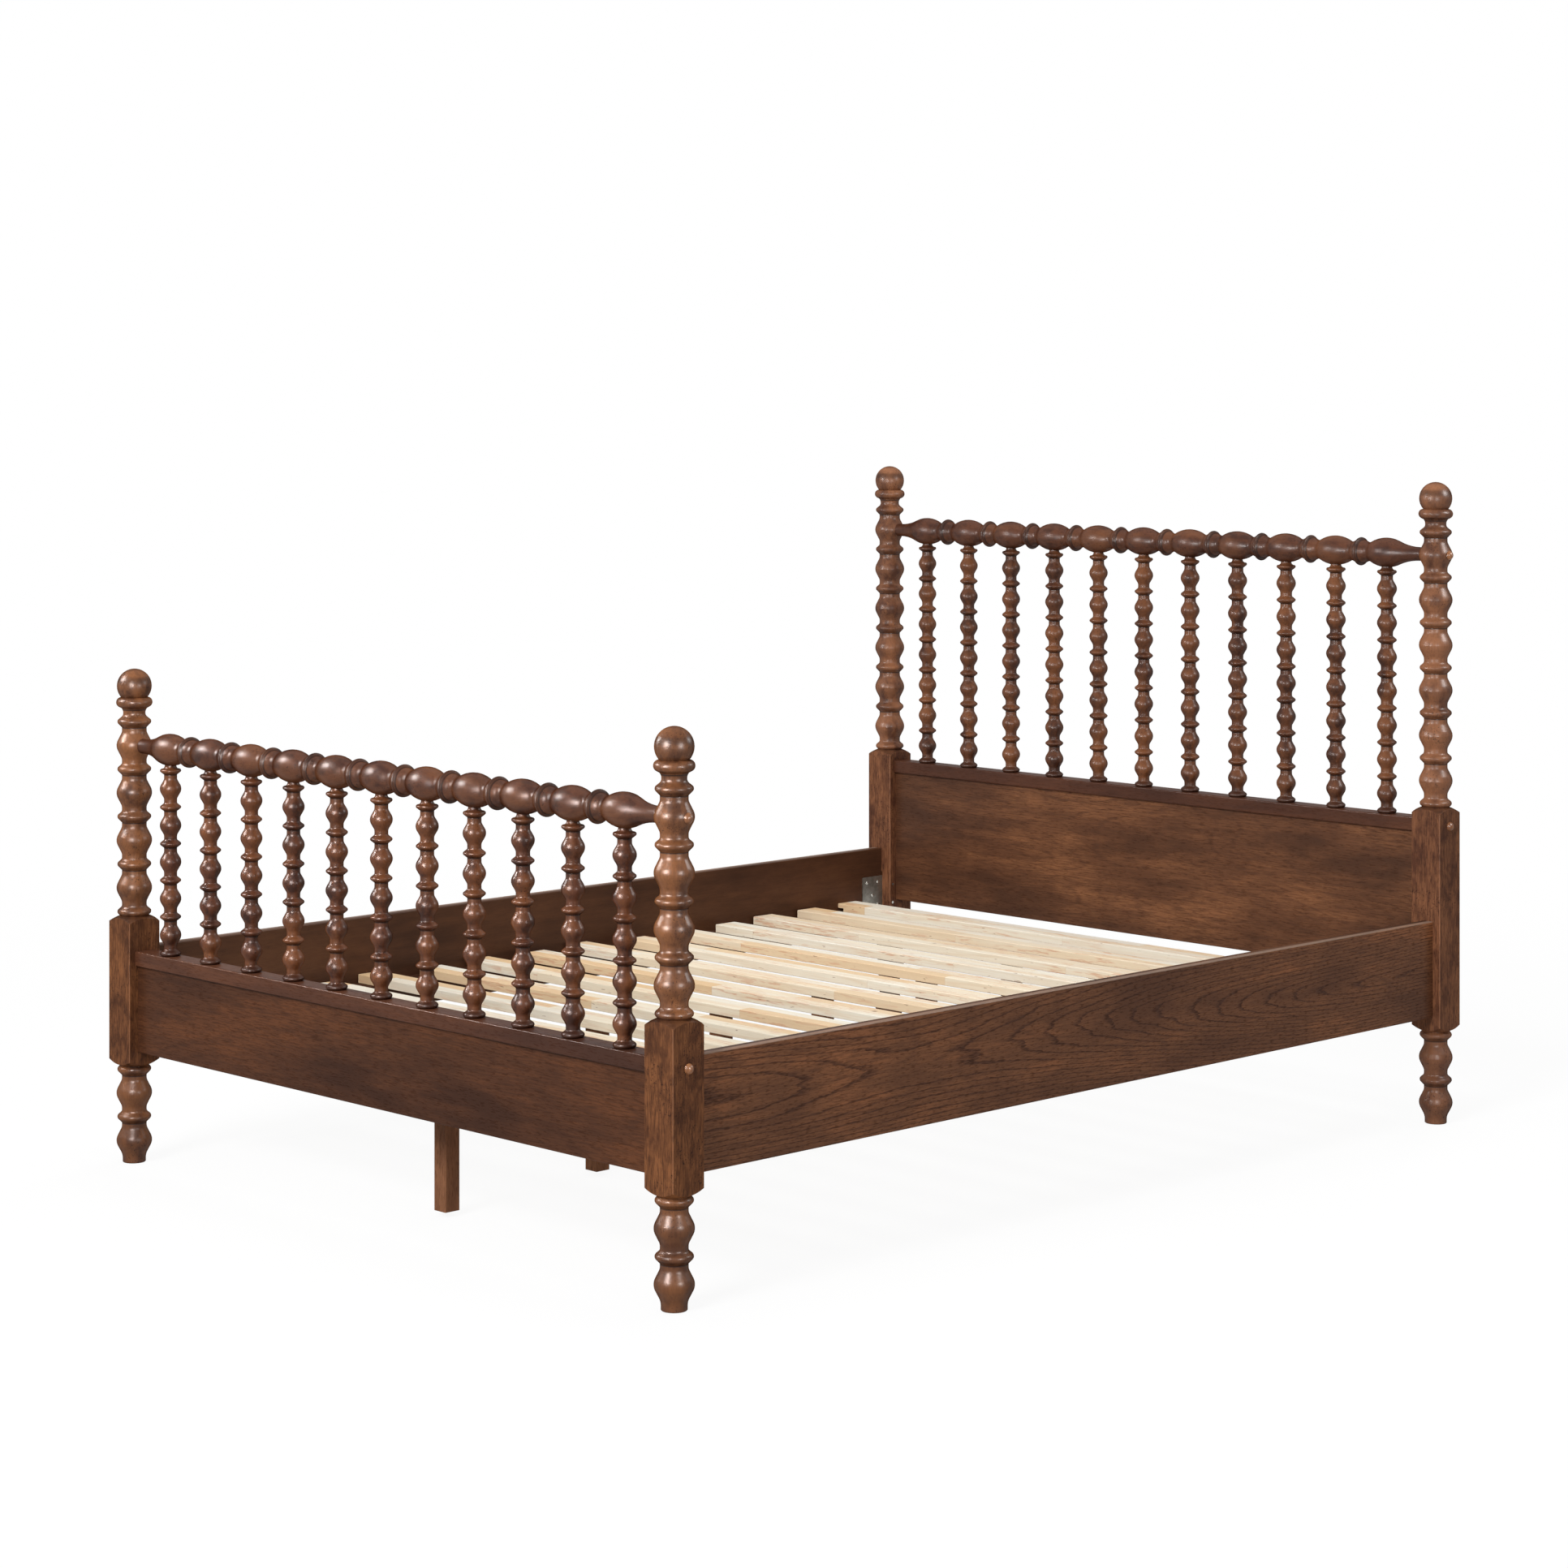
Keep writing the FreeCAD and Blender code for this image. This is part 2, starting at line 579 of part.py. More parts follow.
def top_rail(rail_z):
    """Turned rail: a bulb over each spindle, a ring between bulbs, a long taper into each post."""
    bulb = (top_rail_bulb_radius, top_rail_bulb_round)
    last_bulb = spindle_places()[-1]
    post_surface = post_x - post_bulb_radius
    taper_end = post_surface - top_rail_end_neck
    tenon_end = post_surface + top_rail_tenon
    edges = [line(0, tenon_end, top_rail_end_radius, tenon_end),
             line(top_rail_end_radius, tenon_end, top_rail_end_radius, taper_end)]
    edges += neck_to_crest(taper_end, top_rail_end_radius, last_bulb, *bulb)
    for x in reversed(spindle_places()[:-1]):
        upper = x + spindle_pitch
        ring_at = x + spindle_pitch / 2
        high_neck = ring_at + top_rail_neck_offset
        low_neck = ring_at - top_rail_neck_offset
        edges += crest_to_neck(upper, *bulb, high_neck, top_rail_neck_radius)
        edges += thin_ring(ring_at, 1)
        edges += thin_ring(ring_at, -1)
        edges += neck_to_crest(low_neck, top_rail_neck_radius, x, *bulb)
    edges += crest_to_neck(-last_bulb, *bulb, -taper_end, top_rail_end_radius)
    edges.append(line(top_rail_end_radius, -taper_end, top_rail_end_radius, -tenon_end))
    edges.append(line(top_rail_end_radius, -tenon_end, 0, -tenon_end))
    rail = turned(edges)
    rail.rotate(Vector(0, 0, 0), Vector(0, 1, 0), 90)
    rail.translate(Vector(0, 0, rail_z))
    socket_top = rail_z - top_rail_bulb_radius + spindle_socket_depth + fit
    for x in spindle_places():
        start = Vector(x, 0, rail_z - top_rail_bulb_radius - 5)
        rail = rail.cut(rod(start, Vector(0, 0, 1), top_neck_radius + fit, socket_top - start.z))
    return bored_ends(rail, rail_z, tenon_end)


def bored_ends(rail, z, end_x):
    """Holes in both ends of a rail for the insert nut and the bolt's tip, in the order of the bolts."""
    bolt_tip = post_x + bolt_face(end_x) - counterbore_depth - bolt_length
    for side in (1, -1):
        start = Vector(side * end_x, 0, z)
        inwards = Vector(-side, 0, 0)
        rail = rail.cut(rod(start, inwards, insert_radius + fit, insert_length + fit))
        rail = rail.cut(rod(start, inwards, bolt_radius + fit, end_x - bolt_tip + 2))
    return rail


def bolt_face(end_x):
    """Outer face that a bolt starts from: the bulb for the top rail, the square for the cap rail."""
    return post_bulb_radius if end_x > inner_x + 1 else half_post


def cap_rail(cap_top):
    bottom = cap_top - cap_height
    bar = eased_bar((-inner_x, inner_x, -cap_depth / 2, cap_depth / 2, bottom, cap_top),
                    Vector(1, 0, 0), cap_edge_round)
    groove = box(-inner_x, inner_x, -tongue_thickness / 2 - fit, tongue_thickness / 2 + fit,
                 bottom, bottom + top_tongue_height + fit)
    bar = bar.cut(groove)
    for x in spindle_places():
        start = Vector(x, 0, cap_top - spindle_tenon_length - fit)
        bar = bar.cut(rod(start, Vector(0, 0, 1), spindle_tenon_radius + fit,
                          spindle_tenon_length + 1))
    return bored_ends(bar, cap_top - cap_height / 2, inner_x)


def panel(panel_bottom, cap_top):
    """Veneered board with a tongue along its top and at both ends."""
    top = cap_top - cap_height
    board = eased_bar((-inner_x, inner_x, -panel_thickness / 2, panel_thickness / 2,
                       panel_bottom, top), Vector(1, 0, 0), board_edge_round)
    flush = box(-inner_x, inner_x, -panel_thickness / 2, panel_thickness / 2,
                top - panel_thickness, top)
    half_tongue = tongue_thickness / 2
    top_tongue = box(-inner_x, inner_x, -half_tongue, half_tongue, top, top + top_tongue_height)
    end_tongue = box(-inner_x - tongue_depth, inner_x + tongue_depth, -half_tongue, half_tongue,
                     panel_bottom + tongue_shoulder, top - tongue_shoulder)
    return board.fuse([flush, top_tongue, end_tongue]).removeSplitter()


# ---- side rails, ledges and slats -----------------------------------------------------------------------
def ledge_half_length():
    return rail_end_y - bracket_width - ledge_end_gap


def ledge_screw_places():
    step = 2 * ledge_half_length() / ledge_screw_count
    return [-ledge_half_length() + step * (i + 0.5) for i in range(ledge_screw_count)]


def ledge_middle():
    return slat_bottom - ledge_height / 2


def ledge_screw(y, extra=0.0):
    """Countersunk screw through the right ledge into the right rail."""
    face = rail_inner_x - ledge_width
    start = Vector(face, y, ledge_middle())
    head_depth = ledge_screw_head_radius - screw_radius
    head = Part.makeCone(ledge_screw_head_radius + extra, screw_radius + extra, head_depth, start,
                         Vector(1, 0, 0))
    return head.fuse(rod(start, Vector(1, 0, 0), screw_radius + extra, ledge_screw_length + extra))


def side_rail():
    """Right side rail with the screw holes for its ledge and brackets."""
    bar = eased_bar((rail_inner_x, rail_inner_x + rail_thickness, -rail_end_y, rail_end_y,
                     rail_bottom, rail_top), Vector(0, 1, 0), board_edge_round)
    for y in ledge_screw_places():
        bar = bar.cut(ledge_screw(y, fit))
    for end in (1, -1):
        for y, z in bracket_screw_places():
            start = Vector(rail_inner_x - 1, end * (post_y + y), z)
            bar = bar.cut(rod(start, Vector(1, 0, 0), screw_radius + fit,
                              screw_length - bracket_thickness + 1 + fit))
    return bar


def slat_ledge():
    half_length = ledge_half_length()
    bar = eased_bar((rail_inner_x - ledge_width, rail_inner_x, -half_length, half_length,
                     slat_bottom - ledge_height, slat_bottom), Vector(0, 1, 0), 1.0)
    for y in ledge_screw_places():
        bar = bar.cut(ledge_screw(y, fit))
    return bar


def slat_y(number):
    return (number - (slat_count + 1) / 2) * slat_pitch


def slat(number):
    """Pine slat; the one nearest the head has rebated ends, and some carry a leg."""
    y = slat_y(number)
    length = 2 * (rail_inner_x - lip_gap) if number == slat_count else slat_length
    shift = slat_lay[(number - 1) % len(slat_lay)]
    x0, x1 = shift - length / 2, shift + length / 2
    y0, y1 = y - slat_width / 2, y + slat_width / 2
    bar = eased_bar((x0, x1, y0, y1, slat_bottom, slat_top), Vector(1, 0, 0), slat_edge_round)
    if number == slat_count:
        for a, b in ((x0, x0 + lip_length), (x1 - lip_length, x1)):
            bar = bar.cut(box(a, b, y0, y1, slat_bottom, slat_top - lip_thickness))
    if number in support_slats:
        bar = bar.cut(hanger_bolt(number, fit))
    return bar


def support_x(number):
    return support_lay[support_slats.index(number)]


def hanger_bolt(number, extra=0.0):
    """Double-ended screw that ties a support leg to its slat."""
    start = Vector(support_x(number), slat_y(number), slat_bottom - hanger_in_leg - extra)
    return rod(start, Vector(0, 0, 1), hanger_radius + extra,
               hanger_in_leg + hanger_in_slat + 2 * extra)


def support_leg(number):
    """Square stained leg hung under a slat, a little short of the floor."""
    half = support_width / 2
    x, y = support_x(number), slat_y(number)
    leg = eased_bar((x - half, x + half, y - half, y + half, support_floor_gap, slat_bottom),
                    Vector(0, 0, 1), support_edge_round)
    return leg.cut(hanger_bolt(number, fit))


# ---- all nodes -------------------------------------------------------------------------------------------
def mirrored(shape):
    return shape.mirror(Vector(0, 0, 0), Vector(1, 0, 0))


def moved(shape, y):
    placed = shape.copy()
    placed.translate(Vector(0, y, 0))
    return placed


def build():
    nodes = {}
    groups = {name: [] for name in ("post_bolts", "bolt_inserts", "bolt_caps", "rail_brackets",
                                    "bracket_screws", "hook_pins")}
    ends = (("foot", -1, foot_block_top, foot_bulb_count, foot_cap_top, foot_panel_bottom,
             foot_spindle_bulbs),
            ("head", 1, head_block_top, head_bulb_count, head_cap_top, head_panel_bottom,
             head_spindle_bulbs))
    for name, end, block_top, bulbs, cap_top, panel_bottom, spindle_bulbs in ends:
        y = end * post_y
        rail_z = top_rail_height(block_top, bulbs)
        bolt_z = cap_top - cap_height / 2
        corner_body = corner_post(block_top, bulbs, cap_top, panel_bottom)
        rail_end_x = -post_bulb_radius + top_rail_tenon
        local = {"post_bolts": [bolt(rail_z, post_bulb_radius), bolt(bolt_z, half_post)],
                 "bolt_inserts": [insert_nut(rail_z, rail_end_x), insert_nut(bolt_z, -half_post)],
                 "bolt_caps": [button_cap(rail_z, post_bulb_radius), button_cap(bolt_z, half_post)],
                 "rail_brackets": [rail_bracket()],
                 "bracket_screws": bracket_screws(),
                 "hook_pins": hook_pins()}
        for side_name, side in (("left", -1), ("right", 1)):
            nodes[name + "_post_" + side_name] = corner(corner_body, side, end)
            for group, shapes in local.items():
                groups[group] += [corner(shape, side, end) for shape in shapes]
        nodes[name + "_top_rail"] = moved(top_rail(rail_z), y)
        nodes[name + "_cap_rail"] = moved(cap_rail(cap_top), y)
        nodes[name + "_panel"] = moved(panel(panel_bottom, cap_top), y)
        one = spindle(cap_top, rail_z, spindle_bulbs)
        for number, x in enumerate(spindle_places(), 1):
            placed = one.copy()
            placed.translate(Vector(x, y, 0))
            nodes["%s_spindle_%02d" % (name, number)] = placed
    nodes["side_rail_right"] = side_rail()
    nodes["side_rail_left"] = mirrored(side_rail())
    nodes["slat_ledge_right"] = slat_ledge()
    nodes["slat_ledge_left"] = mirrored(slat_ledge())
    for number in range(1, slat_count + 1):
        nodes["slat_%02d" % number] = slat(number)
    right_screws = [ledge_screw(y) for y in ledge_screw_places()]
    groups["ledge_screws"] = right_screws + [mirrored(screw) for screw in right_screws]
    carried = [number for number in support_slats if number <= slat_count]
    groups["support_legs"] = [support_leg(number) for number in carried]
    groups["leg_bolts"] = [hanger_bolt(number) for number in carried]
    for name, shapes in groups.items():
        nodes[name] = Part.makeCompound(shapes)
    return nodes


os.makedirs("parts", exist_ok=True)
for node_name, node_shape in build().items():
    node_shape.exportStep("parts/" + node_name + ".step")
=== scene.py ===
import math

import bpy
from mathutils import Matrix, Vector


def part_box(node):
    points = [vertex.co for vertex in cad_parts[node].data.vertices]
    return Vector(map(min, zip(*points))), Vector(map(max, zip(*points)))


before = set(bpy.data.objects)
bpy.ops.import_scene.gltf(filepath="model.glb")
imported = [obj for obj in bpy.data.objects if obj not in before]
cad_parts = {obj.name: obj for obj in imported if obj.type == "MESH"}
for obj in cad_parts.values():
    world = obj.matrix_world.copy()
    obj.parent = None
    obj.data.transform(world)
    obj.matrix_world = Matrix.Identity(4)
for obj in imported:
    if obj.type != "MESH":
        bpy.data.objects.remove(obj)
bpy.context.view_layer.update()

# ---- Camera --------------------------------------------------------------------------------------
# A level camera at standing eye height, off the right-hand corner of the foot. It is kept level and
# shifted down, so that the posts stay upright in the picture.
picture_side = 1932
focal_pixels = 4497.3
horizon_pixel = 443.8
film_width = 36.0
farthest_seen = 200.0
camera_place = (5.164, -5.078, 1.550)
camera_turn = 45.75

camera_data = bpy.data.cameras.new("camera")
camera_data.sensor_width = film_width
camera_data.lens = film_width * focal_pixels / picture_side
camera_data.shift_y = (horizon_pixel - picture_side / 2) / picture_side
camera_data.clip_end = farthest_seen
camera = bpy.data.objects.new("camera", camera_data)
camera.location = camera_place
camera.rotation_euler = (math.radians(90), 0, math.radians(camera_turn))
bpy.context.scene.collection.objects.link(camera)
bpy.context.scene.camera = camera
bpy.context.scene.view_settings.view_transform = "Standard"


# ---- Floor, backdrop and studio light --------------------------------------------------------------
# A pale floor that the camera sees as a white sweep, an even white sky, and wide soft boxes that
# light the bed. Four small boxes close to it only show as the spots of light in the lacquer.
class Tap:
    """One socket of a shader's nodes. Sums written with it add the Math nodes they need."""

    def __init__(self, tree, socket=None):
        self.tree = tree
        self.socket = socket

    def node(self, kind, settings=None, sockets=None, output=0):
        """Adds a node: its settings first, then the values or links of its sockets."""
        made = self.tree.nodes.new(kind)
        for name, value in (settings or {}).items():
            if name == "stops":
                ramp = made.color_ramp
                while len(ramp.elements) < len(value):
                    ramp.elements.new(0.5)
                for element, (position, colour) in zip(ramp.elements, value):
                    element.position = position
                    element.color = colour
            else:
                setattr(made, name, value)
        for name, value in (sockets or {}).items():
            if isinstance(value, Tap):
                self.tree.links.new(value.socket, made.inputs[name])
            else:
                made.inputs[name].default_value = value
        return Tap(self.tree, made.outputs[output] if made.outputs else None)

    def math(self, operation, *others):
        """A Math node that has this as its first value."""
        return self.node("ShaderNodeMath", {"operation": operation}, dict(enumerate((self, *others))))

    def __add__(self, other):
        return self.math("ADD", other)

    def __sub__(self, other):
        return self.math("SUBTRACT", other)

    def __rsub__(self, other):
        return self.node("ShaderNodeMath", {"operation": "SUBTRACT"}, {0: other, 1: self})

    def __mul__(self, other):
        return self.math("MULTIPLY", other)

    def __truediv__(self, other):
        return self.math("DIVIDE", other)

    def __pow__(self, other):
        return self.math("POWER", other)

    def __abs__(self):
        return self.math("ABSOLUTE")

    __radd__ = __add__
    __rmul__ = __mul__

    def larger(self, other):
        return self.math("MAXIMUM", other)

    def smaller(self, other):
        return self.math("MINIMUM", other)

    def fade(self, low, high):
        """0 below low, 1 above high and a smooth step between."""
        return self.node("ShaderNodeMapRange", {"interpolation_type": "SMOOTHSTEP"},
                         {"Value": self, "From Min": low, "From Max": high})

    def between(self, low, high):
        """The colour low where this is 0, the colour high where this is 1, and mixed between."""
        low_colour, high_colour, mixed_colour = 6, 7, 2
        return self.node("ShaderNodeMix", {"data_type": "RGBA"},
                         {0: self, low_colour: low, high_colour: high}, output=mixed_colour)

    def part(self, letter):
        """The X, Y or Z of a vector."""
        return self.node("ShaderNodeSeparateXYZ", {}, {"Vector": self}, output=letter)

    def place(self):
        """Where a point lies in its piece's own coordinates, which are those of the frame."""
        return self.node("ShaderNodeTexCoord", output="Object")


def bare_tree(owner):
    """The emptied nodes of a material or of the world, as a Tap to start from."""
    owner.use_nodes = True
    owner.node_tree.nodes.clear()
    return Tap(owner.node_tree)


def new_material(name, finish):
    """A material of one shader with this finish: the material, a Tap to start from, the shader."""
    material = bpy.data.materials.new(name)
    start = bare_tree(material)
    shader = start.node("ShaderNodeBsdfPrincipled", {}, finish)
    start.node("ShaderNodeOutputMaterial", {}, {"Surface": shader})
    return material, start, shader.socket.node


def seen_ray(tap):
    """1 for what the camera, a gloss or a clear piece sees, and 0 for the light on matt surfaces."""
    to_camera = tap.node("ShaderNodeLightPath", output="Is Camera Ray")
    in_gloss = tap.node("ShaderNodeLightPath", output="Is Glossy Ray")
    through = tap.node("ShaderNodeLightPath", output="Is Transmission Ray")
    return to_camera.larger(in_gloss).larger(through)


floor_reach = 60.0
floor_sides = 48
floor_grey = (0.50, 0.50, 0.50, 1.0)
floor_white = (1.0, 1.0, 1.0, 1.0)
shadow_share = 0.08            # how much of the floor's own light the camera sees near the bed
shadow_radius = (1.8, 4.5)     # the floor fades from that to plain white between these distances

floor_rim = []
for side in range(floor_sides):
    turn = math.tau * side / floor_sides
    floor_rim.append((floor_reach * math.cos(turn), floor_reach * math.sin(turn), 0))
floor_mesh = bpy.data.meshes.new("floor")
floor_mesh.from_pydata(floor_rim, [], [range(floor_sides)])
floor = bpy.data.objects.new("floor", floor_mesh)
bpy.context.scene.collection.objects.link(floor)

floor_material = bpy.data.materials.new("floor_white")
tap = bare_tree(floor_material)
seen = seen_ray(tap)
distance = tap.node("ShaderNodeVectorMath", {"operation": "LENGTH"}, {0: tap.place()}, output="Value")
whiteness = (distance.fade(*shadow_radius) * shadow_share + (1 - shadow_share)) * seen
own_light = tap.node("ShaderNodeBsdfDiffuse", {}, {"Color": seen.between(floor_grey, floor_white)})
plain_white = tap.node("ShaderNodeEmission", {}, {"Color": floor_white, "Strength": 1.0})
tap.node("ShaderNodeOutputMaterial", {}, {
    "Surface": tap.node("ShaderNodeMixShader", {}, {0: whiteness, 1: own_light, 2: plain_white})})
floor_mesh.materials.append(floor_material)

sky_level = 0.28               # the light of the sky on matt surfaces; it is seen as plain white
sky_white = (1.0, 1.0, 1.0, 1.0)
world = bpy.data.worlds.new("studio")
bpy.context.scene.world = world
tap = bare_tree(world)
tap.node("ShaderNodeOutputWorld", {}, {"Surface": tap.node("ShaderNodeBackground", {}, {
    "Color": sky_white, "Strength": seen_ray(tap) * (1 - sky_level) + sky_level})})

bed_middle = Vector((0.0, 0.0, 0.6))
spot_side = 0.6


def soft_box(name, place, side, watts, spot=False):
    """A square studio light aimed at the bed. A wide one lights the matt colours and isn't
    mirrored; a spot is only mirrored by the lacquer."""
    data = bpy.data.lights.new(name, "AREA")
    data.shape = "SQUARE"
    data.size = side
    data.energy = watts
    lamp = bpy.data.objects.new(name, data)
    lamp.location = place
    lamp.rotation_euler = (bed_middle - Vector(place)).to_track_quat("-Z", "Y").to_euler()
    lamp.visible_camera = False
    lamp.visible_diffuse = not spot
    lamp.visible_glossy = spot
    bpy.context.scene.collection.objects.link(lamp)


soft_box("front_light", (2.6, -11.2, 7.8), side=4.4, watts=1370)
soft_box("side_light", (9.5, -1.5, 5.6), side=4.0, watts=100)
soft_box("back_light", (-3.0, 11.0, 6.0), side=4.4, watts=300)
soft_box("top_light", (0.0, 0.3, 7.6), side=5.0, watts=190)
soft_box("spot_left", (-1.79, -2.16, 1.87), spot_side, watts=125, spot=True)
soft_box("spot_front", (0.75, -2.91, 1.35), spot_side, watts=180, spot=True)
soft_box("spot_right", (3.06, -1.20, 1.18), spot_side, watts=98, spot=True)
soft_box("spot_back", (1.99, 1.59, 2.02), spot_side, watts=55, spot=True)


# ---- Turned posts, spindles and top rails ------------------------------------------------------------
# Lathe-turned hardwood, stained a warm medium brown and lacquered to a satin gloss. The stain is
# mottled and flecked. A dark line in the crease under each ring is partly gathered stain and partly
# painted shade, the rings' undersides carry painted shade, the posts' legs are painted darker like
# the shadow under the bed, and the spindles' lowest beads are darker.
across_bed, along_bed, upright = 0, 1, 2    # the ways the grain can run


def paint(red, green, blue):
    """A colour as a screen shows it, from 0 to 255, as the renderer's own values."""
    levels = [level / 255 for level in (red, green, blue)]
    return (*[level / 12.92 if level < 0.04045 else ((level + 0.055) / 1.055) ** 2.4
              for level in levels], 1.0)


def drawn_out(place, grain, stretch, move=(0, 0, 0)):
    """The frame's coordinates, squeezed along the grain so that a pattern draws out along it. The
    move keeps two patterns on one piece from lying over each other."""
    scale = [1.0, 1.0, 1.0]
    scale[grain] = 1 / stretch
    return place.node("ShaderNodeMapping", {}, {"Vector": place, "Scale": scale, "Location": move})


def noise(vector, scale, detail=2.0, roughness=0.5, distortion=0.0):
    """Soft patches, about scale of them to the metre, broken up by that much finer detail."""
    return vector.node("ShaderNodeTexNoise", {}, {
        "Vector": vector, "Scale": scale, "Detail": detail, "Roughness": roughness,
        "Distortion": distortion})


def bump(height, strength, depth):
    return height.node("ShaderNodeBump", {}, {"Height": height, "Strength": strength, "Distance": depth})


def link(value, shader, socket):
    value.tree.links.new(value.socket, shader.inputs[socket])


rim_slant = (0.45, 0.85)       # the lacquer's coat fades between these slants; 1 is edge-on


def rim_free(tap, weight):
    """A coat's weight that goes down toward the edge of a round piece, so the edge stays dark."""
    slant = tap.node("ShaderNodeLayerWeight", {}, {"Blend": 0.5}, output="Facing")
    return (1 - slant.fade(*rim_slant)) * weight


def square(value):
    return value * value


turned_lacquer = {"Specular IOR Level": 0.0, "Coat Roughness": 0.36, "Coat IOR": 1.5}
turned_coat = 0.36             # the weight of the lacquer on round surfaces
coat_lost_on_flats = 0.62      # the share of it that the posts' square blocks lack
grain_relief, grain_depth = 0.10, 0.0005
# the dark brown of flecks and pores, also used for the painted shade in creases and under rings
fleck_and_shade_brown = paint(38, 22, 17)
worn_brown = paint(150, 100, 66)
stock_half = 0.035             # half the posts' square stock
flat_face = (stock_half - 0.00018, stock_half - 0.00005)    # from the post's middle plane
sharp_edge = (stock_half - 0.0020, stock_half - 0.0005)     # from both middle planes
crease_width = (0.0003, 0.0024)                 # the crease's dark line of stain and painted shade fades away between these
crease_margin = (0.003, 0.005)                  # and between these, out from the neck
ring_shade_start = 0.002                        # the shade under a ring is full up to here


def turned_stain(name, grain, off_axis, from_crease, neck, tones, darker_foot=None):
    """Stained turning. off_axis gives how far a point lies from its axis in the two directions
    across, from_crease how far it is along the axis from the nearest crease, and neck is the
    radius there. darker_foot holds two heights and a share: below the first height the colour is
    that much darker, and from there up to the second height this fades away; on the posts' legs
    this is painted shade."""
    deep, mid, warm = tones
    material, tap, shader = new_material(name, turned_lacquer)
    place = tap.place()
    across, behind = off_axis(place)
    radius = (square(across) + square(behind)) ** 0.5
    across, behind = abs(across), abs(behind)
    flat = across.larger(behind).fade(*flat_face)
    arris = across.smaller(behind).fade(*sharp_edge)

    mottle = noise(drawn_out(place, grain, 1.6), 42.0, 5.0, 0.66)
    cloud = noise(drawn_out(place, grain, 2.0, (2, 5, 1)), 15.0, 3.0, 0.55)
    streak = noise(drawn_out(place, grain, 14.0), 320.0, 3.0, 0.62)
    pores = noise(drawn_out(place, grain, 9.0, (3, 1, 2)), 560.0, 1.0).fade(0.57, 0.66)
    fleck = noise(place, 300.0, 1.0).fade(0.63, 0.68) * noise(place, 18.0).fade(0.46, 0.60)
    end_grain = 1 - radius.fade(neck * 0.25, neck)
    colour = mottle.fade(0.36, 0.60).between(deep, mid)
    colour = (cloud.fade(0.42, 0.64) * (0.8 - flat * 0.40)).between(colour, warm)
    colour = (streak.fade(0.44, 0.60) * (flat * 0.45 + 0.20)).between(colour, deep)
    colour = (end_grain * 0.7).between(colour, deep)
    # Painted shade: on the posts this darkens the legs like the shadow under the bed; on the spindles it
    # darkens the lowest beads.
    if darker_foot:
        low, high, share = darker_foot
        colour = ((1 - place.part("Z").fade(low, high)) * share).between(colour, deep)
    colour = (pores * (flat * 0.42 + 0.08) + fleck * 0.65).between(colour, fleck_and_shade_brown)
    colour = (arris * 0.45).between(colour, worn_brown)

    gap = from_crease(place)
    above_neck = radius.fade(neck + crease_margin[0], neck + crease_margin[1])
    # A dark line in the crease under each ring: partly gathered stain, partly painted crease shade.
    crease_stain_and_shade = (1 - gap.fade(*crease_width)) * (1 - above_neck)
    on_ring = radius.fade(neck, neck * 1.2)
    # Painted shade: the undersides of the rings are darkened where shade falls under them.
    under_ring_shade = (1 - gap.fade(ring_shade_start, neck * 0.42)) * on_ring * (1 - flat)
    colour = (under_ring_shade * 0.50).between(colour, fleck_and_shade_brown)
    colour = (crease_stain_and_shade * 0.80).between(colour, fleck_and_shade_brown)

    link(colour, shader, "Base Color")
    link(streak * 0.12 + 0.42, shader, "Roughness")
    link(rim_free(tap, turned_coat) * (1 - flat * coat_lost_on_flats), shader, "Coat Weight")
    link(bump((streak - pores) * flat, grain_relief, grain_depth), shader, "Normal")
    return material


def dress(names, material):
    for name in names:
        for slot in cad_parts[name].material_slots:
            slot.material = material


def middle(node):
    low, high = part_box(node)
    return (low + high) / 2


post_middle = middle("foot_post_right")
spindle_pitch = middle("foot_spindle_02").x - middle("foot_spindle_01").x


def from_end_plane(place):
    """How far a point lies from the middle plane of its end frame."""
    return abs(place.part("Y")) + post_middle.y


def off_post_axis(place):
    return abs(place.part("X")) - post_middle.x, from_end_plane(place)


def nearest(value, pitch):
    """How far a value lies from the nearest whole step of the pitch."""
    return value.math("WRAP", pitch / 2, -pitch / 2)


def off_spindle_axis(place):
    return nearest(place.part("X"), spindle_pitch), from_end_plane(place)


def off_rail_axis(height):
    def off_axis(place):
        return place.part("Z") - height, from_end_plane(place)
    return off_axis


post_ring_pitch = 0.0918
post_first_crease = 0.1136      # below the post's top
collar_crease = 0.0787          # below the post's top
leg_crease = 0.1681             # above the floor
leg_top = 0.2
leg_shade_fade = 0.05                 # the legs' painted shade fades away over this height
bead_fade = (0.004, 0.011)      # that of the lowest bead between these, above the last ring
spindle_first_ring = 0.0395     # below the top rail's axis
spindle_last_ring = 0.0046      # above the cap rail
spindle_ring_fall = 0.008       # from the middle of each ring down to its crease
rail_crease_offset = 0.005      # on both sides of each ring of the top rail
post_neck, spindle_neck, rail_neck = 0.0236, 0.0123, 0.0240


def from_post_crease(top):
    def from_crease(place):
        z = place.part("Z")
        above_leg = z.fade(leg_top, leg_top + 0.01)
        first = above_leg * (top - post_first_crease - leg_crease) + leg_crease
        return abs(nearest(z - first, post_ring_pitch)).smaller(abs(z - (top - collar_crease)))
    return from_crease


def from_spindle_crease(first_ring, pitch):
    def from_crease(place):
        return abs(nearest(place.part("Z") - (first_ring - spindle_ring_fall), pitch))
    return from_crease


def from_rail_crease(place):
    x = place.part("X")
    past_last_ring = abs(x).fade(spindle_pitch * 5, spindle_pitch * 5.1)
    ring = nearest(x + spindle_pitch / 2, spindle_pitch)
    return abs(abs(ring) - rail_crease_offset) + past_last_ring


